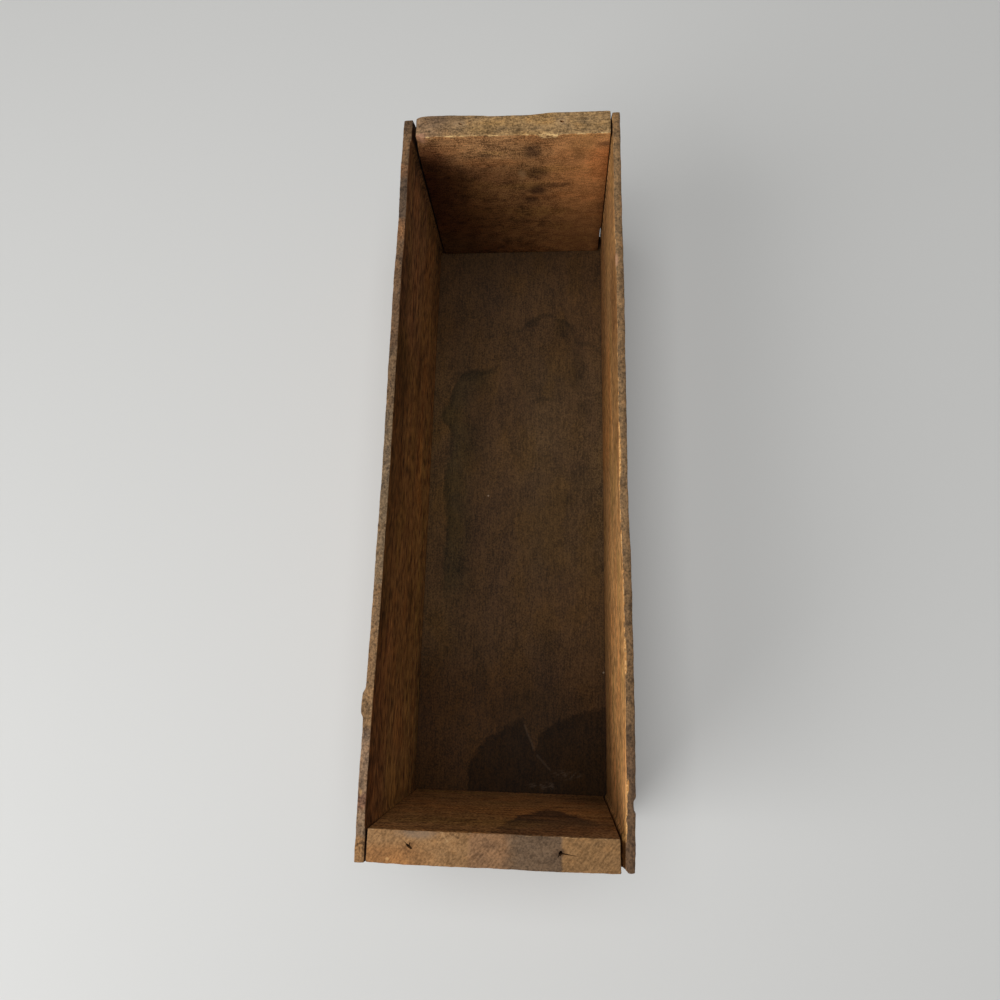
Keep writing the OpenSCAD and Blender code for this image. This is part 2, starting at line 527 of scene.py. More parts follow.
def planted(nail, name, groups):
    """One piece of copies of a nail, driven in where the nails of some groups are."""
    bpy.ops.object.select_all(action="DESELECT")
    turn = 0
    for group in groups:
        aim = NAIL_GROUPS[group][2].to_track_quat("Z", "Y").to_matrix().to_4x4()
        for head in nail_heads(group):
            copy = bpy.data.objects.new(name, nail.data.copy())
            bpy.context.scene.collection.objects.link(copy)
            copy.data.transform(Matrix.Translation(head) @ aim @ Matrix.Rotation(turn, 4, "Z"))
            copy.select_set(True)
            bpy.context.view_layer.objects.active = copy
            turn += NAIL_TURN
    bpy.ops.object.join()
    return settle(bpy.context.object, name)


NAILED = {
    left_side: ("nails_near_left", "nails_far_left"),
    right_side: ("nails_near_right", "nails_far_right"),
    near_end: ("nails_near_left", "nails_near_right", "nails_bottom_near"),
    far_end: ("nails_far_left", "nails_far_right", "nails_bottom_far"),
    bottom_board: ("nails_bottom_near", "nails_bottom_far"),
}
hole_shape = wire_nail("hole", HOLE_CLEARANCE, OPEN_ABOVE)
for board, groups in NAILED.items():
    drill(board, planted(hole_shape, "holes", groups))
bpy.data.objects.remove(hole_shape)

nail_shape = wire_nail("nail", 0, 0)
dress_nail(nail_shape)
nail_pieces = {group: planted(nail_shape, group + "_rusty", [group]) for group in NAIL_GROUPS}
bpy.data.objects.remove(nail_shape)

LID_HOLE_DEPTH = 15 * MM
LID_HOLE_SIDES = 14
# How wide the foot of a hole is, and how deep its middle lies, as shares of its width and its depth
LID_HOLE_TAPER = 0.5
LID_HOLE_MIDDLE = 0.45
SPLIT_DEPTH = 4 * MM
SPLIT_TAPER = 0.1


def lid_holes(mount):
    """The places of the holes that a mount of the record names."""
    half = mount["dims"]["spacing_x_mm"] / 2 * MM
    return [Vector(mount["pos_m"]) + Vector((aside, 0, 0)) for aside in (-half, half)]


def lid_hole(place, length, width, turn):
    """The shape of the slit that a lid's nail left in the wood, turned by an angle in degrees."""
    bpy.ops.object.select_all(action="DESELECT")
    bpy.ops.mesh.primitive_cone_add(
        vertices=LID_HOLE_SIDES,
        radius1=LID_HOLE_TAPER,
        radius2=1,
        depth=LID_HOLE_DEPTH,
        location=place - Vector((0, 0, LID_HOLE_MIDDLE * LID_HOLE_DEPTH)),
        rotation=(0, 0, math.radians(turn)),
        scale=(length / 2, width / 2, 1),
    )
    return settle(bpy.context.object, "hole")


def split(place, length, width, turn):
    """The shape of a split that runs out from a hole to nothing, turned by an angle in degrees."""
    wedge = block("split", Vector((0, -width / 2, -SPLIT_DEPTH)), Vector((length, width / 2, SPLIT_DEPTH)))
    open_with(wedge, "VERT", lambda vertex: vertex.co.x > length / 2)
    bpy.ops.transform.resize(value=(1, SPLIT_TAPER, 1))
    close()
    wedge.data.transform(Matrix.Translation(place) @ Matrix.Rotation(math.radians(turn), 4, "Z"))
    return wedge


MOUNTS = {mount["name"]: mount for mount in frame["record"]["mounts"]}
NEAR_HOLES = lid_holes(MOUNTS["near_lid_nail_holes"])
FAR_HOLES = lid_holes(MOUNTS["far_lid_nail_holes"])
# Length, width and turn of the slit that is left of each hole
NEAR_SLITS = ((2.6 * MM, 0.9 * MM, -35), (1.7 * MM, 1.3 * MM, 60))
FAR_SLITS = ((2.2 * MM, 0.8 * MM, -31), (2.1 * MM, 1.1 * MM, -16))
# Splits from each hole of the near end board: length, width and turn
LEFT_SPLITS = ((2.6 * MM, 0.5 * MM, 140), (2.2 * MM, 0.4 * MM, 80), (1.4 * MM, 0.4 * MM, -20))
RIGHT_SPLITS = ((6 * MM, 0.5 * MM, -7), (1.8 * MM, 0.6 * MM, -125))

for end, holes, slits in ((near_end, NEAR_HOLES, NEAR_SLITS), (far_end, FAR_HOLES, FAR_SLITS)):
    for hole, slit in zip(holes, slits):
        drill(end, lid_hole(hole, *slit))
for hole, splits in zip(NEAR_HOLES, (LEFT_SPLITS, RIGHT_SPLITS)):
    for length, width, turn in splits:
        drill(near_end, split(hole, length, width, turn))
for board in NAILED:
    finish_edges(board)
for nails in nail_pieces.values():
    finish_edges(nails)


# Shader values

class Value:
    """A value that changes over a surface. Sums on it add the nodes that work them out."""

    def __init__(self, socket):
        self.socket = socket
        self.tree = socket.id_data

    def node(self, kind, settings, inputs, output=0):
        """What another node gives: its settings are set first, then the values or links of its sockets."""
        made = self.tree.nodes.new(kind)
        for name, setting in settings.items():
            setattr(made, name, setting)
        for name, given in inputs.items():
            if isinstance(given, Value):
                self.tree.links.new(given.socket, made.inputs[name])
            else:
                made.inputs[name].default_value = given
        return Value(made.outputs[output])

    def maths(self, operation, *given):
        """What a Math node makes of some values."""
        return self.node("ShaderNodeMath", {"operation": operation}, dict(enumerate(given)))

    def __add__(self, other):
        return self.maths("ADD", self, other)

    def __sub__(self, other):
        return self.maths("SUBTRACT", self, other)

    def __mul__(self, other):
        return self.maths("MULTIPLY", self, other)

    def __truediv__(self, other):
        return self.maths("DIVIDE", self, other)

    def __pow__(self, other):
        return self.maths("POWER", self, other)

    def __rsub__(self, other):
        return self.maths("SUBTRACT", other, self)

    __radd__ = __add__
    __rmul__ = __mul__

    def __abs__(self):
        return self.maths("ABSOLUTE", self)

    def larger(self, other):
        """The larger of two values."""
        return self.maths("MAXIMUM", self, other)

    def smaller(self, other):
        """The smaller of two values."""
        return self.maths("MINIMUM", self, other)

    def fade(self, start, end):
        """0 at start and 1 at end, with a smooth change between them."""
        limits = {"Value": self, "From Min": start, "From Max": end}
        return self.node("ShaderNodeMapRange", {"interpolation_type": "SMOOTHSTEP"}, limits)

    def band(self, low, high, soft):
        """1 from low to high, and 0 outside them, with soft edges."""
        return self.fade(low - soft, low + soft) * self.fade(high + soft, high - soft)

    def mix(self, zero, one, label=""):
        """One colour where this value is 0, and another where it is 1."""
        settings = {"data_type": "RGBA", "label": label}
        return self.node("ShaderNodeMix", settings, {0: self, 6: zero, 7: one}, 2)

    def stain(self, colour, shade, label=""):
        """A colour whose red, green and blue are multiplied by those of a shade where this value is 1."""
        settings = {"data_type": "RGBA", "blend_type": "MULTIPLY", "label": label}
        return self.node("ShaderNodeMix", settings, {0: self, 6: colour, 7: (*shade, 1)}, 2)

    def line(self, points):
        """The height of a smooth line through some points (place, height), with this value as the place."""
        places, heights = zip(*points)
        length = places[-1] - places[0]
        low = min(heights)
        height = max(heights) - low
        read = self.node("ShaderNodeFloatCurve", {}, {"Value": (self - places[0]) / length})
        mapping = read.socket.node.mapping
        mapping.extend = "HORIZONTAL"
        knots = mapping.curves[0].points
        for place in places[2:]:
            knots.new((place - places[0]) / length, 0)
        for knot, point in zip(knots, points):
            knot.location = ((point[0] - places[0]) / length, (point[1] - low) / height)
        mapping.update()
        return read * height + low

    def vector(self, operation, other):
        """What a Vector Math node makes of this vector and another."""
        return self.node("ShaderNodeVectorMath", {"operation": operation}, {0: self, 1: other})

    def parts(self):
        """The X, Y and Z of a vector."""
        split = self.node("ShaderNodeSeparateXYZ", {}, {0: self}).socket.node
        return [Value(part) for part in split.outputs]


def blot(across, along, centre, reach, edge=0.6):
    """1 inside a patch about a centre and 0 outside it, with a soft edge."""
    away = ((across - centre[0]) / reach[0]) ** 2 + ((along - centre[1]) / reach[1]) ** 2
    return (away ** 0.5).fade(1 + edge, 1 - edge)


def stroke(across, along, start, end, width):
    """1 on a straight line from one point to another and 0 beside it, with soft edges."""
    run = Vector(end) - Vector(start)
    aside = across - start[0]
    ahead = along - start[1]
    share = ((aside * run.x + ahead * run.y) / run.length_squared).larger(0).smaller(1)
    away = ((aside - share * run.x) ** 2 + (ahead - share * run.y) ** 2) ** 0.5
    return away.fade(width, 0.3 * width)


def tone(red, green, blue):
    """A colour as a screen shows it, from 0 to 255, in the shader's own numbers."""

    def opened(level):
        share = level / 255
        return share / 12.92 if share <= 0.04045 else ((share + 0.055) / 1.055) ** 2.4

    return (opened(red), opened(green), opened(blue), 1)


def along_grain(grain, fine, long):
    """The size of a patch that is fine across the grain and long along it."""
    size = [fine, fine, fine]
    size[grain] = long
    return tuple(size)


# How much old wood and rust shine, from 0 to 1
SHINE = 0.15


class Finish:
    """A material in the making: places on a piece in millimetres, the way that it faces, and its colour."""

    def __init__(self, name):
        self.material = bpy.data.materials.new(name)
        self.material.use_nodes = True
        self.shader = self.material.node_tree.nodes["Principled BSDF"]
        self.colour = None
        # The shader's own socket is the value from which the first nodes are added
        start = Value(self.shader.outputs[0])
        place = start.node("ShaderNodeTexCoord", {}, {}, "Object")
        self.place = place.vector("MULTIPLY", (1 / MM,) * 3)
        self.x, self.y, self.z = self.place.parts()
        facing = start.node("ShaderNodeNewGeometry", {}, {}, "Normal")
        self.facing_x, self.facing_y, self.up = facing.parts()

    def cloud(self, size, detail=2, roughness=0.5, shift=0, turn=0):
        """A cloudy value about 0.5, with patches of that size in millimetres, turned about Z in degrees."""
        place = self.place
        if turn:
            angle = (0, 0, -math.radians(turn))
            place = place.node("ShaderNodeMapping", {}, {"Vector": place, "Rotation": angle})
        place = place.vector("DIVIDE", size)
        if shift:
            place = place.vector("ADD", (shift,) * 3)
        inputs = {"Vector": place, "Scale": 1, "Detail": detail, "Roughness": roughness}
        return place.node("ShaderNodeTexNoise", {}, inputs)

    def straying(self, grain):
        """How far, in millimetres, the edges of stains stray to either side."""
        return 6 * (self.cloud(along_grain(grain, 4, 5), detail=5, roughness=0.7) - 0.5)

    def stain(self, label, mask, shade):
        """Multiplies the colour by a shade where a mask is 1. The label tells what that part is."""
        self.colour = mask.stain(self.colour, shade, label)

    def paint(self, label, mask, colour):
        """Covers the colour with another where a mask is 1. The label tells what that part is."""
        self.colour = mask.mix(self.colour, colour, label)

    def stain_blots(self, across, along, blots, shade):
        """Stains some blots: the centre, the reach and the strength of each."""
        for centre, reach, strength in blots:
            self.stain("blot", strength * blot(across, along, centre, reach), shade)

    def coat(self, roughness, height, depth):
        """Joins the colour, the roughness and a relief of that depth in millimetres to the shader."""
        relief = {"Height": height, "Distance": depth * MM, "Strength": 1}
        links = {
            "Base Color": self.colour,
            "Roughness": roughness,
            "Normal": height.node("ShaderNodeBump", {}, relief),
        }
        for name, value in links.items():
            value.tree.links.new(value.socket, self.shader.inputs[name])
        self.shader.inputs["Specular IOR Level"].default_value = SHINE
        return self.material


# Finishes of the wood

# Depth of the wood's relief in millimetres
RELIEF = 0.2
# The darkest and the palest brown of the faces outside the box
WEATHERED = (tone(88, 64, 43), tone(142, 109, 76))


class Wood(Finish):
    """The wood of an upright board: its figure, its weathered outside, its rough rim and its end grain."""

    def __init__(self, node, grain, inside, streaks, strand):
        """Inside is the way into the box, streaks the long bands' strength, and strand a strand's size."""
        super().__init__(node + "_wood")
        self.grain = grain
        self.low, self.high = box_in_mm(node)
        self.fuzz = self.cloud((0.7, 0.7, 0.7), detail=2, roughness=0.6)
        self.strands = self.cloud(strand, detail=2, roughness=0.6)
        self.fibres = self.cloud(along_grain(grain, 0.6, 4), detail=3, roughness=0.6)
        self.bands = self.cloud(along_grain(grain, 2.6, 50), detail=4, roughness=0.6)
        self.mottle = self.cloud(along_grain(grain, 5, 7), detail=5, roughness=0.65)
        self.patches = self.cloud(along_grain(grain, 12, 34), detail=3)
        self.pores = self.cloud(along_grain(grain, 0.6, 7), detail=1).fade(0.64, 0.74)
        self.drift = self.straying(grain)
        broad = streaks * self.bands + (0.35 - streaks) * self.mottle
        self.figure = 0.4 * self.strands + 0.25 * self.fibres + broad
        thickness = X + Y - grain
        across = (self.x, self.y)[thickness]
        facing = (self.facing_x, self.facing_y)
        inner_face = self.high[thickness] if inside > 0 else self.low[thickness]
        self.depth = inside * (inner_face - across)
        self.outer = (-inside * facing[thickness]).fade(0.4, 0.8)
        self.end_grain = abs(facing[grain]).fade(0.5, 0.8)
        self.rim = self.up.fade(0.45, 0.75) * self.z.fade(self.high.z - 8, self.high.z - 5)

    def add_inside(self, dark, pale):
        """Starts with old wood: a fuzzy figure, a few redder and yellower patches, and dark pores."""
        self.colour = self.figure.fade(0.4, 0.6).mix(dark, pale)
        self.stain("redder", self.patches.fade(0.52, 0.66), (1.04, 0.95, 0.88))
        self.stain("yellower", self.patches.fade(0.48, 0.36), (0.98, 1.02, 0.92))
        self.stain("pores", 0.5 * self.pores, (0.6, 0.56, 0.52))

    def add_streaks(self, width):
        """Adds long dark and golden streaks along the grain, of that width."""
        streaks = self.cloud(along_grain(self.grain, width, 12 * width), detail=3, roughness=0.6, shift=5)
        self.stain("dark streaks", 0.55 * streaks.fade(0.55, 0.65), (0.55, 0.52, 0.5))
        self.stain("golden streaks", 0.6 * streaks.fade(0.43, 0.33), (1.3, 1.32, 1.2))

    def add_lap_shade(self):
        """Paints shade on the inner face of a side board where it laps over the end boards, inside the
        joint's gap.
        """
        inner = (1 - self.rim) * (1 - self.outer) * (1 - self.end_grain)
        # Painted shade, dark and brownish, on the wall seen in the gap
        self.stain("lap", abs(self.y).fade(138.5, 140.5) * inner, (0.24, 0.18, 0.14))

    def add_outside(self, nail_groups=()):
        """Adds the weathered outer face: grey and brown, damp at the foot, rusty round the nail heads."""
        figure = 0.5 * self.fibres + 0.35 * self.bands + 0.15 * self.mottle
        weathered = figure.fade(0.36, 0.64).mix(*WEATHERED)
        grey = self.cloud(along_grain(self.grain, 17, 60), detail=3).fade(0.45, 0.66)
        weathered = (0.6 * grey).mix(weathered, tone(112, 99, 84))
        weathered = (0.8 * self.pores).stain(weathered, (0.5, 0.46, 0.44))
        scuffs = self.cloud(along_grain(self.grain, 1.2, 10), detail=3, shift=7).fade(0.62, 0.72)
        weathered = (0.5 * scuffs).mix(weathered, tone(172, 140, 104))
        damp = (self.z + 2 * self.drift).fade(24, 5)
        weathered = damp.stain(weathered, (0.62, 0.56, 0.52))
        for group in nail_groups:
            for head in nail_heads(group):
                away = ((self.y - head.y / MM) ** 2 + (self.z - head.z / MM) ** 2) ** 0.5
                rust = (away + 0.5 * self.drift).fade(7, 2.4)
                weathered = rust.stain(weathered, (0.5, 0.36, 0.28))
        self.paint("outside", self.outer, weathered)

    def add_rim(self, dark, pale, fleck, turn=0, patchy=1):
        """Adds the rough rim: flecks of a size and a turn, and darker and paler patches of a strength."""
        flecks = self.cloud(fleck, detail=3, roughness=0.6, shift=9, turn=turn)
        speckle = 0.4 * self.fuzz + 0.35 * flecks + 0.25 * self.mottle
        rough = speckle.fade(0.36, 0.64).mix(dark, pale)
        patches = self.cloud(along_grain(self.grain, 3, 6), detail=3, roughness=0.6, shift=13)
        rough = (patchy * patches.fade(0.53, 0.66)).stain(rough, (0.7, 0.72, 0.78))
        rough = (patchy * patches.fade(0.47, 0.34)).stain(rough, (1.22, 1.15, 1.06))
        self.paint("rim", self.rim, rough)

    def coated(self):
        """The finished material, once the dark and dirty end grain is added."""
        dots = self.cloud((0.4, 0.4, 1.4), detail=3, shift=3)
        rough = dots.fade(0.35, 0.65).mix(tone(58, 42, 29), tone(108, 81, 55))
        self.paint("end grain", self.end_grain, rough)
        relief = 0.25 * self.fuzz + 0.25 * self.strands + 0.35 * self.fibres - 0.4 * self.pores
        return self.coat(0.75 + 0.2 * self.patches, relief, RELIEF)


def left_side_wood():
    """The left side board: olive brown inside, golden near the floor, with a grey-brown rim."""
    wood = Wood("left_side", Y, 1, 0.18, (0.6, 5, 0.9))
    y, z, rim, drift = wood.y, wood.z, wood.rim, wood.drift
    along = y + drift
    height = z + drift
    wood.add_inside(tone(81, 58, 35), tone(182, 135, 81))
    golden = (z + 2 * drift).fade(44, 14) * (y + 2 * drift).fade(60, 0) * wood.mottle.fade(0.4, 0.55)
    wood.stain("golden near the floor", golden, (1.22, 1.34, 1.3))
    wood.add_streaks(2.4)
    wood.stain("shade under the rim", height.fade(60, 80) * along.fade(98, 82), (0.75, 0.73, 0.71))
    wood.stain("far foot", height.fade(30, 12) * along.fade(80, 100), (0.72, 0.72, 0.72))
    wood.stain("whole foot", height.fade(27, 13), (0.9, 0.9, 0.9))
    wood.stain("near foot", height.fade(17, 6) * (y + 2 * drift).fade(-40, -80), (0.66, 0.67, 0.74))
    # Painted shade: a darker strip just under the rim, where the rim shades the wall
    wood.stain("strip under the rim", (z + 0.5 * drift).fade(79, 86), (0.74, 0.71, 0.68))
    # Painted shade in the far corner, next to the far end board
    wood.stain("far corner", along.fade(128, 140), (0.7, 0.7, 0.7))
    wood.stain("lighter near half", along.fade(-80, -120) * height.band(40, 66, 8), (1.15, 1.15, 1.15))
    wood.stain("reddish near rim", along.fade(-60, -76) * height.fade(62, 72), (1.12, 1, 1.06))
    wood.stain("dull far half", (y + 2 * drift).fade(44, 62) * height.fade(38, 50), (0.98, 0.96, 1.16))
    blots = (
        ((32, 74), (17, 14), 0.55),
        ((-6, 73), (18, 8), 0.35),
        ((-55, 35), (9, 2.4), 0.85),
        ((50, 44), (14, 3.4), 0.75),
        ((-98, 60), (4, 2), 0.6),
        ((-20, 62), (12, 2.4), 0.5),
    )
    wood.stain_blots(y + 0.8 * drift, z + 0.8 * drift, blots, (0.4, 0.38, 0.38))
    wood.stain("pale strip", 0.8 * blot(along, height, (0, 31), (20, 5)), (1.35, 1.35, 1.2))
    wood.add_lap_shade()
    wood.add_outside(NAILED[left_side])
    wood.add_rim(tone(72, 57, 42), tone(144, 119, 90), (0.9, 1.6, 0.9))
    # Stretches of the rim, from the far end to the near end, and how each one's colour differs
    rim_stretches = (
        (127, 160, (0.82, 0.71, 0.64)),
        (120, 127, (0.98, 0.77, 0.68)),
        (100, 120, (0.54, 0.52, 0.58)),
        (90, 100, (1.15, 0.86, 0.68)),
        (65, 90, (0.84, 0.72, 0.66)),
        (40, 65, (0.76, 0.66, 0.62)),
        (14, 40, (0.87, 0.81, 0.77)),
        (-30, -14, (0.92, 0.92, 0.92)),
        (-84, -55, (1.12, 0.99, 0.86)),
        (-107, -84, (1.28, 1.12, 0.94)),
        (-128, -107, (1.22, 1.16, 1.24)),
        (-133, -128, (1.12, 0.88, 0.94)),
        (-142, -133, (1.26, 1.2, 1.22)),
        (-160, -142, (1.5, 1.2, 0.88)),
    )
    for start, end, shade in rim_stretches:
        wood.stain("stretch of the rim", rim * (y + 0.7 * drift).band(start, end, 1.5), shade)
    spot = rim * blot(wood.x, y + 0.2 * drift, (-46.6, -127.4), (0.5, 0.9))
    wood.paint("golden spot", 0.5 * spot, tone(188, 146, 92))
    dent = rim * blot(wood.x, y + 0.3 * drift, (-46.8, -124), (1, 1.6))
    wood.stain("dent", 0.7 * dent, (0.45, 0.46, 0.5))
    return wood.coated()


def right_side_wood():
    """The right side board: golden brown inside, with a dark rim whose inner arris is worn bright."""
    wood = Wood("right_side", Y, -1, 0.22, (0.6, 3, 1.1))
    y, z, rim, drift = wood.y, wood.z, wood.rim, wood.drift
    along = y + drift
    height = z + drift
    wood.add_inside(tone(116, 82, 47), tone(219, 163, 102))
    wood.add_streaks(3.4)
    # Painted shade: the far half of the wall is darkened, as the window light falls off along it
    wood.stain("far half", (y + 3 * drift).fade(20, 140), (0.88, 0.86, 0.86))
    wood.stain("foot", height.fade(34, 18), (0.93, 0.92, 0.92))
    # Painted light: the near half of the wall is lightened above its foot
    wood.stain("near half", (y + 3 * drift).fade(-10, -80) * height.fade(28, 42), (1.27, 1.25, 1.22))
    shaded = height.fade(58, 74) * (y + 2 * drift).band(-8, 84, 12)
    wood.stain("shade under the rim", shaded, (0.74, 0.71, 0.66))
    wood.stain("deeper shade", height.fade(57, 69) * along.band(48, 86, 8), (0.8, 0.77, 0.76))
    wood.stain("golden middle", (y + 2 * drift).band(6, 60, 10) * height.fade(66, 54), (1.05, 0.96, 0.84))
    strip = height.band(38, 58, 5) * (y + 2 * drift).band(-108, -26, 8)
    wood.stain("pale strip", strip, (1.17, 1.17, 1.17))
    wood.stain("pale near corner", height.fade(56, 68) * along.fade(-106, -120), (1.24, 1.22, 1.24))
    wood.add_lap_shade()
    wood.add_outside(NAILED[right_side])
    wood.add_rim(tone(82, 63, 43), tone(152, 119, 82), (0.9, 1.6, 0.9))
    lean = sum(depth * y.band(start, end, WARP_SOFT) for depth, start, end in RIGHT_WARPS)
    inset = wood.depth - lean
    outer_third = rim * (inset + 0.25 * drift).fade(1.4, 2.4)
    wood.stain("outer third of the rim", 0.8 * outer_third, (0.8, 0.8, 0.82))
    wood.stain("near half of the rim", rim * along.fade(-20, -70), (0.82, 0.8, 0.8))
    wood.stain("near end of the rim", rim * along.fade(-96, -114), (0.72, 0.72, 0.82))
    arris = z.fade(wood.high.z - 1, wood.high.z - 0.6)
    worn = y.fade(14, -4) * y.fade(-15, -12)
    worn = worn.larger(y.fade(-66, -80) * y.fade(-86.5, -84))
    worn = worn.larger(y.band(-124.4, -120, 0.8)).larger(0.4 * y.band(-138, -126, 1.5))
    width = 0.24 + 0.5 * worn
    ragged = inset + 0.12 * drift + 0.7 * (wood.fuzz - 0.5)
    edge = arris * (ragged / width).fade(1.3, 0.7)
    flakes = wood.cloud(along_grain(Y, 0.8, 2.5), detail=4)
    kept = 0.14 * worn + 0.07 * y.band(-66, -14, 3) - 0.07 * y.fade(20, 45) - 0.1 * y.band(-117, -88, 2)
    bare = (flakes + kept).fade(0.5, 0.6)
    golden = wood.fuzz.fade(0.35, 0.65).mix(tone(176, 122, 68), tone(220, 172, 112))
    wood.paint("bare arris", 0.95 * edge * bare, golden)
    chip = blot(inset + 0.1 * drift, y + 0.3 * drift, (0.3, 78), (0.8, 2.6), 0.5)
    wood.paint("chip", 0.6 * arris * chip, tone(190, 144, 112))
    return wood.coated()


# The edge of the stain on the near end board: places across the box, and heights
STAIN_ARCH = ((-4, 96), (2, 77), (6, 61), (8.2, 54.5), (12, 50), (18.8, 45), (23.3, 47.5), (25.6, 52.5),
              (30.8, 56), (39.2, 59))


def near_end_wood():
    """The near end board: streaked and stained inside, with faint scratches and a grey patch on its top."""
    wood = Wood("near_end", X, 1, 0.16, (1, 0.6, 1))
    x, y, z, rim, drift = wood.x, wood.y, wood.z, wood.rim, wood.drift
    across = x + drift
    height = z + drift
    wood.add_inside(tone(100, 71, 39), tone(193, 144, 87))
    wood.add_streaks(1.5)
    wood.stain("lower half", height.fade(46, 22), (0.8, 0.79, 0.82))
    wood.stain("under the top", height.fade(66, 82), (1.2, 1.18, 1.26))
    soaking = wood.cloud((11, 5, 5), detail=3, roughness=0.6, shift=11)
    inside = z - (x + 0.5 * drift).line(STAIN_ARCH) + 24 * (soaking - 0.5)
    stained = (inside / (1 + 2 * x.fade(12, 0))).fade(-2, 1.5)
    body = stained * (x - 0.6 * (z - 60) + drift).fade(36, 28) * (1 - 0.3 * z.fade(66, 76))
    wood.stain("stain", body, (0.46, 0.5, 0.66))
    edge = stained * inside.fade(16, 4) * x.fade(0, 10) * wood.mottle.fade(0.36, 0.56)
    wood.stain("edge of the stain", 0.9 * edge, (0.5, 0.5, 0.6))
    blots = (
        ((20, 56), (9, 1.4), 0.5),
        ((14, 64), (8, 1.6), 0.4),
        ((-25, 63), (5, 1.4), 0.5),
        ((-15, 72), (7, 1.6), 0.5),
        ((-25, 83), (6, 1.2), 0.5),
        ((-12, 87), (8, 1.4), 0.6),
        ((-28, 40), (9, 1.4), 0.4),
        ((34, 16), (14, 9), 0.35),
    )
    wood.stain_blots(x + 0.8 * drift, z + 0.8 * drift, blots, (0.35, 0.33, 0.34))
    wood.add_outside()
    wood.add_rim(tone(105, 77, 49), tone(154, 117, 79), (2.6, 0.7, 0.9), turn=50, patchy=0.5)
    wood.stain("left of the top", rim * across.fade(-6, -14), (1.14, 1.13, 1.1))
    orange = rim * across.fade(-16, -32) * (y + 0.3 * drift).fade(-142, -146)
    wood.stain("orange", orange, (1.12, 0.97, 0.82))
    wood.stain("mauve", rim * (x + 0.7 * drift).band(-8, 6, 1.2), (0.94, 0.92, 1.02))
    wood.stain("right of the top", rim * (x + 0.5 * drift).fade(22, 23.6), (0.95, 0.94, 0.88))
    grey = rim * (x + 1.5 * drift).fade(1, 9) * (x + 0.5 * drift).fade(23.6, 22.2)
    greyed = (0.6 * wood.fuzz + 0.4 * wood.mottle).fade(0.3, 0.7).mix(tone(60, 48, 38), tone(107, 88, 71))
    wood.paint("grey patch", 0.8 * grey, greyed)
    dusty = rim * blot(across, y + 0.3 * drift, (-26, -139.6), (6, 1.6))
    wood.paint("dust", 0.5 * dusty, tone(124, 110, 96))
    for start, end in (((-17.4, -139.4), (-15.4, -141.8)), ((-13, -139.6), (-16.4, -142.2))):
        scratch = rim * stroke(x, y, start, end, 0.5)
        wood.paint("scratch", 0.2 * scratch, tone(208, 168, 120))
    bruise = rim * stroke(x, y, (-14.7, -139.2), (-11.9, -140.5), 0.5)
    wood.stain("bruise", 0.6 * bruise, (0.4, 0.36, 0.34))
    golden = rim * blot(x, y, (-35.8, -147.9), (0.6, 0.5))
    wood.paint("golden spot", 0.45 * golden, tone(222, 174, 116))
    flakes = wood.cloud(along_grain(X, 0.7, 3), detail=3)
    arris = z.fade(wood.high.z - 0.9, wood.high.z - 0.5) * wood.depth.fade(0.6, 0.2)
    wood.paint("bare arris", 0.7 * arris * flakes.fade(0.56, 0.64), tone(186, 150, 108))
    for hole in NEAR_HOLES:
        crushed = blot(x + 0.3 * drift, y + 0.3 * drift, hole.xy / MM, (1.8, 1.2))
        wood.stain("crushed round a hole", 0.6 * crushed * z.fade(80, 84), (0.45, 0.4, 0.37))
    return wood.coated()


# The height of the far end board's top at some places across the box
FAR_TOP = ((-42, 89.4), (-34, 91.1), (0, 90.5), (42, 90))


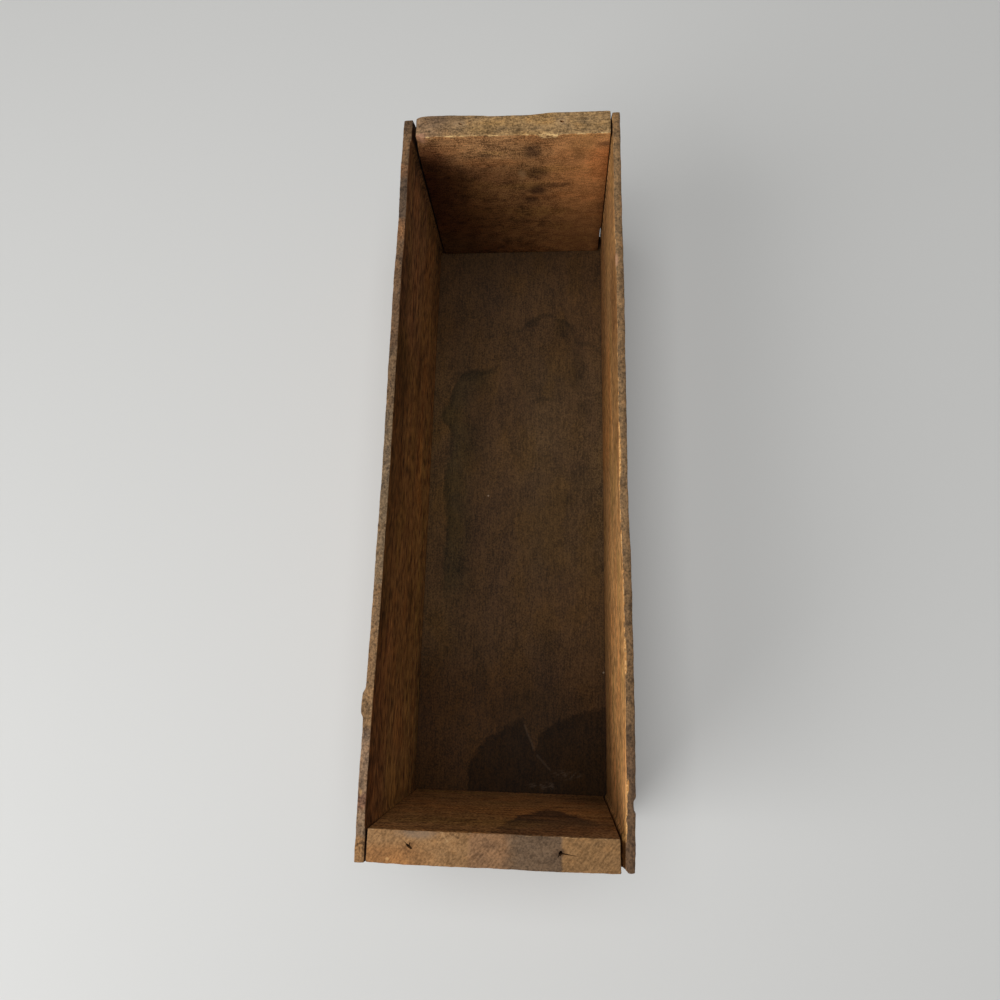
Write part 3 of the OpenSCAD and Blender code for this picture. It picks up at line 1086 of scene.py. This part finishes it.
def far_end_wood():
    """The far end board: blotted inside, dark on the left from painted shadow and stains, orange on the
    right from painted light, with a chipped arris.
    """
    wood = Wood("far_end", X, -1, 0.05, (0.6, 0.6, 0.6))
    x, y, z, rim, drift = wood.x, wood.y, wood.z, wood.rim, wood.drift
    across = x + drift
    height = z + drift
    wood.add_inside(tone(92, 62, 35), tone(190, 138, 86))
    # Painted shadow of the left side board, partly a stain too: the far face is darkened on the left and low
    # down along a slant, and most in the corner by the left board
    slanted_shadow_and_stain = (x + 0.3 * z + 1.5 * drift).fade(14, -28) * height.fade(86, 70)
    corner = across.fade(-27, -38) * height.fade(82, 66)
    wood.stain("dark left", slanted_shadow_and_stain.larger(corner), (0.36, 0.275, 0.27))
    wood.stain("darkest left", blot(across, height, (-36, 59), (12, 16), 0.7), (0.56, 0.48, 0.48))
    wood.stain("dim middle", blot(x + 2 * drift, height, (-14, 65), (15, 8)), (0.84, 0.8, 0.82))
    wood.stain("dim below", blot(x + 2 * drift, height, (-21, 36), (11, 10), 0.7), (0.84, 0.82, 0.76))
    wood.paint("smooth right", 0.4 * (x + 2 * drift).fade(12, 30), tone(148, 106, 64))
    # Painted light: the right part of the far face is lightened and warmed where the window light falls on
    # it over the left side board
    orange = (x + 2 * drift).fade(2, 36) * (0.55 + 0.45 * z.fade(24, 58))
    wood.stain("orange right", orange, (1.65, 1.5, 1.4))
    # Painted shade: the lower half of the far face is darkened, below the reach of the window light
    wood.stain("lower half", height.fade(60, 32), (0.74, 0.73, 0.71))
    wood.stain("middle of the foot", height.fade(24, 8) * across.band(-20, 2, 5), (0.82, 0.82, 0.84))
    wood.stain("left of the foot", height.fade(34, 18) * across.fade(-18, -30), (1.08, 1.3, 1.28))
    right_end = (x + 0.6 * drift).fade(38, 42) * height.fade(86, 80)
    wood.stain("right end", right_end, (0.72, 0.68, 0.64))
    # Painted light: the upper part of the far face is lightened, most on the left, where the window light
    # passes over the left side board
    painted_light_under_top = height.fade(66, 82)
    wood.stain("under the top", painted_light_under_top, (1.08, 1.12, 1.2))
    wood.stain("under the top, left", painted_light_under_top * across.band(-30, 1, 5), (1.28, 1.3, 1.35))
    # Painted shade in the top left corner, next to the left side board
    wood.stain("dim corner", blot(across, height, (-37, 80), (7, 7)), (0.84, 0.74, 0.74))
    wood.stain("reddish", 0.7 * blot(across, height, (40, 72), (6, 9)), (1.04, 0.9, 0.8))
    wood.stain("olive", 0.6 * blot(across, height, (31, 82), (6, 6), 0.5), (0.72, 0.76, 0.7))
    blots = (
        ((9, 80), (3.8, 4), 0.85),
        ((10.5, 66), (5, 3.6), 0.65),
        ((11, 55), (3.4, 3.4), 0.95),
        ((20, 58), (7, 1.5), 0.5),
        ((7.5, 48), (3, 2), 0.7),
        ((12, 53), (10, 8), 0.22),
        ((-12, 78.6), (3, 1.6), 0.6),
        ((-28.7, 31.4), (2.6, 1), 0.7),
        ((41, 83.5), (2.6, 1.4), 0.7),
        ((-30, 88), (6, 1.4), 0.3),
    )
    wood.stain_blots(x + 0.8 * drift, z + 0.8 * drift, blots, (0.3, 0.29, 0.33))
    light = blot(x + 0.6 * drift, z + 0.6 * drift, (3.9, 66), (1.6, 3), 0.7)
    wood.paint("light spot", 0.45 * light, tone(190, 150, 104))
    wood.add_outside()
    wood.add_rim(tone(86, 66, 42), tone(178, 143, 98), (2.3, 0.9, 0.9), patchy=0.8)
    yellow = rim * (wood.patches + 0.004 * x).fade(0.46, 0.7)
    wood.stain("yellow", 0.8 * yellow, (1.1, 1.02, 0.8))
    wood.stain("left of the top", rim * x.fade(-14, -36), (0.8, 0.79, 0.94))
    dirt = rim * blot(across, y + 0.4 * drift, (-28, 148), (10, 2))
    wood.stain("dirt", 0.6 * dirt, (0.5, 0.5, 0.54))
    flakes = wood.cloud(along_grain(X, 0.7, 2.2), detail=4)
    strong = (x + 0.8 * drift).band(12.5, 20.5, 1.5)
    faint = x.band(-31, -19, 2).larger(x.band(-10, -4, 1.5))
    width = 0.45 + 1.3 * strong
    below = x.line(FAR_TOP) - z - 1.6 * strong
    edge = (below - 0.5 * drift).fade(1, 0.2) * (wood.depth - 0.2 * drift).fade(width, 0.2)
    bare = (flakes + 0.08 * strong + 0.08 * faint).fade(0.52, 0.6)
    wood.paint("bare arris", 0.9 * edge * bare, tone(222, 184, 126))
    pink = blot(x, z, (-40.4, 89.6), (3.4, 2.4), 0.5) * wood.depth.fade(3, 1.6)
    wood.paint("pink corner", 0.6 * pink, tone(172, 124, 98))
    for hole in FAR_HOLES:
        pale = rim * blot(x + 0.3 * drift, y + 0.3 * drift, hole.xy / MM, (2.6, 1.8))
        wood.paint("pale round a hole", 0.3 * pale, tone(176, 146, 112))
    return wood.coated()


# Outlines of the stains on the bottom board, in millimetres
WET_EDGE = ((-19.4, -142), (-18.7, -126), (-15.5, -120.6), (-10.5, -115.6), (-4.6, -111.9), (1.9, -108.4),
            (4.2, -106.7), (6.2, -110), (9, -115.5), (10.8, -120.2), (13, -114.2), (17.7, -109.9),
            (23.7, -106.6), (29.2, -104.2), (36.8, -102.2), (44, -100.3))
LEFT_TIDE = ((-60, -33.5), (-28, -35), (-14.8, -34.1), (8, -36.5), (31.5, -34.1), (38, -35), (43, -39.5),
             (50.5, -36.3), (66, -33))
FAR_TIDE = ((-36, 50), (-32, 62.3), (-27, 68.2), (-13.7, 70.1), (-8, 75), (-2.2, 88.4), (8, 98.5),
            (15, 101.2), (21.4, 98.3), (26.5, 95.4), (31.5, 84.7), (36.6, 84.1), (44, 78.4))


def bottom_wood():
    """The bottom board: dark from use, with a water stain whose tide line shows, and a darker wet stain."""
    wood = Finish("bottom_board_wood")
    x, y, drift = wood.x, wood.y, wood.straying(Y)
    across = x + drift
    along = y + 3 * drift
    grit = wood.cloud((0.6, 0.8, 0.6), detail=2, roughness=0.6)
    fibres = wood.cloud(along_grain(Y, 0.6, 6), detail=3)
    mottle = wood.cloud(along_grain(Y, 7, 10), detail=5, roughness=0.62)
    patches = wood.cloud(along_grain(Y, 14, 24), detail=4)
    figure = (0.52 * grit + 0.26 * fibres + 0.22 * mottle).fade(0.34, 0.66)
    wood.colour = figure.mix(tone(42, 29, 16), tone(82, 58, 34))
    wood.stain("yellower", patches.fade(0.5, 0.64), (1.05, 1.03, 0.9))
    wood.stain("greyer", patches.fade(0.48, 0.36), (0.96, 0.95, 1))
    wood.stain("middle", blot(x + 2 * drift, y + 4 * drift, (14, 14), (34, 80), 0.7), (1.28, 1.32, 1.4))
    # Painted light: the floor is lightened towards both side boards, where they shade it
    wood.stain("right half", across.fade(10, 42), (1.5, 1.5, 1.5))
    wood.stain("left edge", across.fade(-18, -42) * (y + 2 * drift).band(-75, 75, 22), (1.52, 1.64, 1.64))
    wood.stain("right edge", across.fade(28, 40) * along.band(0, 95, 12), (1.2, 1.22, 1.24))
    wood.stain("pale patch", blot(x + 2 * drift, along, (16, 38), (11, 18), 0.7), (1.18, 1.2, 1.24))
    wood.stain("faded band", along.band(2, 34, 8), (1.09, 1.1, 1.1))
    wood.stain("olive", (x + 2 * drift).fade(-6, 14) * along.band(-40, 75, 14), (0.96, 1.02, 1.05))
    wood.stain("near half", along.fade(-62, -104), (0.76, 0.7, 0.64))
    wood.stain("warm near left", (x + 2 * drift).fade(6, -8) * along.fade(-76, -92), (1.07, 1, 0.82))
    wood.stain("dark near", blot(x + 2 * drift, y + 2 * drift, (11, -104), (20, 13)), (0.77, 0.79, 0.8))
    wood.stain("dark far", blot(across, y + drift, (-16, 117), (12, 22), 0.9), (0.78, 0.77, 0.74))
    inside_left = x - y.line(LEFT_TIDE)
    inside_far = x.line(FAR_TIDE) - y
    soaked = inside_left.smaller(inside_far) + 0.7 * drift
    far_of_wet = y.fade(-56, -40)
    washed_out = x.band(-12, -3, 3) * y.fade(55, 65)
    tide = soaked.fade(-1.2, 0.6) * soaked.fade(4, 0.8) * far_of_wet * mottle.fade(0.34, 0.54)
    wood.stain("tide line", 0.8 * tide * (1 - washed_out), (0.5, 0.55, 0.57))
    ring = soaked.fade(-1, 3) * soaked.fade(18, 5) * across.fade(-8, -22) * far_of_wet
    wood.stain("ring inside the tide line", 0.75 * ring, (0.64, 0.77, 0.8))
    dry = soaked.fade(0, -1.5) * x.fade(-30, -34)
    wood.stain("dry outside the tide line", 0.5 * dry, (1.04, 0.98, 0.92))
    blots = (
        ((24, 92), (5, 5), 0.6),
        ((7, 96), (4, 2.4), 0.6),
        ((31.5, 71), (4, 12), 0.45),
        ((35.5, 47), (5, 4), 0.4),
        ((14.4, 52), (7, 0.9), 0.5),
        ((-25, 66), (7, 3), 0.5),
        ((-21, 30), (6, 14), 0.4),
        ((25, -1.5), (4, 3), 0.5),
        ((36, 10), (8, 13), 0.25),
        ((16.5, -77), (5, 12), 0.35),
        ((-15, -91), (4, 8), 0.4),
        ((-26, -37), (4, 1.6), 0.55),
    )
    wood.stain_blots(x + 1.2 * drift, y + 1.2 * drift, blots, (0.46, 0.5, 0.52))
    crack = (x + 18.6 + 0.1 * drift).band(-0.2, 0.2, 0.15) * y.band(-98, -64, 3)
    wood.stain("crack", 0.6 * crack, (0.4, 0.4, 0.4))
    wet = (x + 0.6 * drift).line(WET_EDGE) - y + 1.1 * drift
    wood.stain("wet stain", wet.fade(-1.4, 1.2), (0.47, 0.46, 0.41))
    for start, end in (((6.4, -109.5), (10.6, -119.5)), ((12.5, -122.5), (18.3, -128.6))):
        pale_line = stroke(x + 0.3 * drift, y, start, end, 0.7)
        wood.paint("pale line", 0.16 * pale_line, tone(96, 80, 66))
    rubbed = wood.cloud((2.2, 0.9, 1), detail=3, roughness=0.6, turn=16).fade(0.46, 0.62)
    for centre, reach in (((26, -130.4), (6, 1.8)), ((16, -135.4), (7, 1.3))):
        scuff = blot(x + 0.4 * drift, y + 0.3 * drift, centre, reach) * rubbed
        wood.paint("scuff", 0.3 * scuff, tone(104, 88, 74))
    worn = blot(x + 0.3 * drift, y, (42, 0), (2.4, 30)) * grit.fade(0.46, 0.6)
    wood.paint("worn right edge", 0.25 * worn, tone(116, 92, 66))
    for centre in ((43, -84.8), (-13.7, 0.5)):
        wood.paint("speck", 0.7 * blot(x, y, centre, (0.4, 0.4), 0.5), tone(160, 140, 118))
    planed = 0.5 * fibres + 0.5 * wood.cloud(along_grain(Y, 2.6, 50), detail=4, roughness=0.6)
    wood.paint("underside", wood.up.fade(-0.4, -0.8), planed.fade(0.36, 0.64).mix(*WEATHERED))
    return wood.coat(0.72 + 0.2 * patches, 0.6 * grit + 0.4 * fibres, RELIEF)


def rusty_iron():
    """Old wire nails: dark brown iron with orange rust in patches."""
    iron = Finish("rusty_iron")
    pits = iron.cloud((0.35, 0.35, 0.35), detail=4, roughness=0.7)
    patches = iron.cloud((1.3, 1.3, 1.3), detail=3)
    iron.colour = pits.fade(0.3, 0.7).mix(tone(44, 34, 28), tone(86, 62, 46))
    iron.paint("orange rust", patches.fade(0.48, 0.62), tone(118, 66, 34))
    return iron.coat(0.62 + 0.3 * patches, pits, 0.12)


nail_finish = rusty_iron()
FINISHES = {
    left_side: left_side_wood(),
    right_side: right_side_wood(),
    near_end: near_end_wood(),
    far_end: far_end_wood(),
    bottom_board: bottom_wood(),
}
for nails in nail_pieces.values():
    FINISHES[nails] = nail_finish
for piece, finish in FINISHES.items():
    piece.data.materials.clear()
    piece.data.materials.append(finish)


# The stage: a pale floor, a window on the left, soft light from above and the camera

def plain_finish(name, colour, roughness):
    """A finish of one colour all over."""
    finish = Finish(name)
    finish.shader.inputs["Base Color"].default_value = colour
    finish.shader.inputs["Roughness"].default_value = roughness
    return finish.material


def soft_lamp(name, place, width, height, power):
    """A rectangular lamp that faces the box."""
    data = bpy.data.lights.new(name, "AREA")
    data.shape = "RECTANGLE"
    data.size = width
    data.size_y = height
    data.energy = power
    lamp = bpy.data.objects.new(name, data)
    bpy.context.scene.collection.objects.link(lamp)
    lamp.location = place
    lamp.rotation_euler = (-Vector(place)).to_track_quat("-Z", "Y").to_euler()


FLOOR_SIZE = 8
FLOOR_DROP = 0.2 * MM
ROOM_LIGHT = 0.1
# The camera, as worked out from the corners of the box: its place, its turn in degrees, and its lens
CAMERA_PLACE = (0.0205, -0.0862, 0.3449)
CAMERA_TURN = (13.988, 4.386, 1.403)
CAMERA_LENS = 25.22
CAMERA_SENSOR = 36

bpy.ops.object.select_all(action="DESELECT")
bpy.ops.mesh.primitive_plane_add(size=FLOOR_SIZE, location=(0, 0, -FLOOR_DROP))
floor = bpy.context.object
floor.name = "floor"
floor.data.materials.append(plain_finish("pale_floor", tone(206, 206, 204), 0.6))

soft_lamp("window", (-1.15, -0.66, 0.70), width=1.2, height=1.2, power=18)
soft_lamp("ceiling", (0, 0, 1.6), width=1.2, height=1.2, power=17)
world = bpy.data.worlds.new("room")
bpy.context.scene.world = world
world.use_nodes = True
world.node_tree.nodes["Background"].inputs["Color"].default_value = (1, 1, 1, 1)
world.node_tree.nodes["Background"].inputs["Strength"].default_value = ROOM_LIGHT

camera_data = bpy.data.cameras.new("camera")
camera_data.sensor_width = CAMERA_SENSOR
camera_data.lens = CAMERA_LENS
camera = bpy.data.objects.new("camera", camera_data)
bpy.context.scene.collection.objects.link(camera)
camera.location = CAMERA_PLACE
camera.rotation_euler = [math.radians(angle) for angle in CAMERA_TURN]
bpy.context.scene.camera = camera
bpy.context.scene.view_settings.view_transform = "Standard"


# The worn pieces join the root body, and the model's own parts are hidden

SLOTS = {
    left_side: "side_wood",
    right_side: "side_wood",
    near_end: "end_wood",
    far_end: "end_wood",
    bottom_board: "bottom_wood",
}
for board, slot in SLOTS.items():
    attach(board, "root")
    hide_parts(board.name.removesuffix("_worn"))
for group, nails in nail_pieces.items():
    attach(nails, "root")
    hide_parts(group)
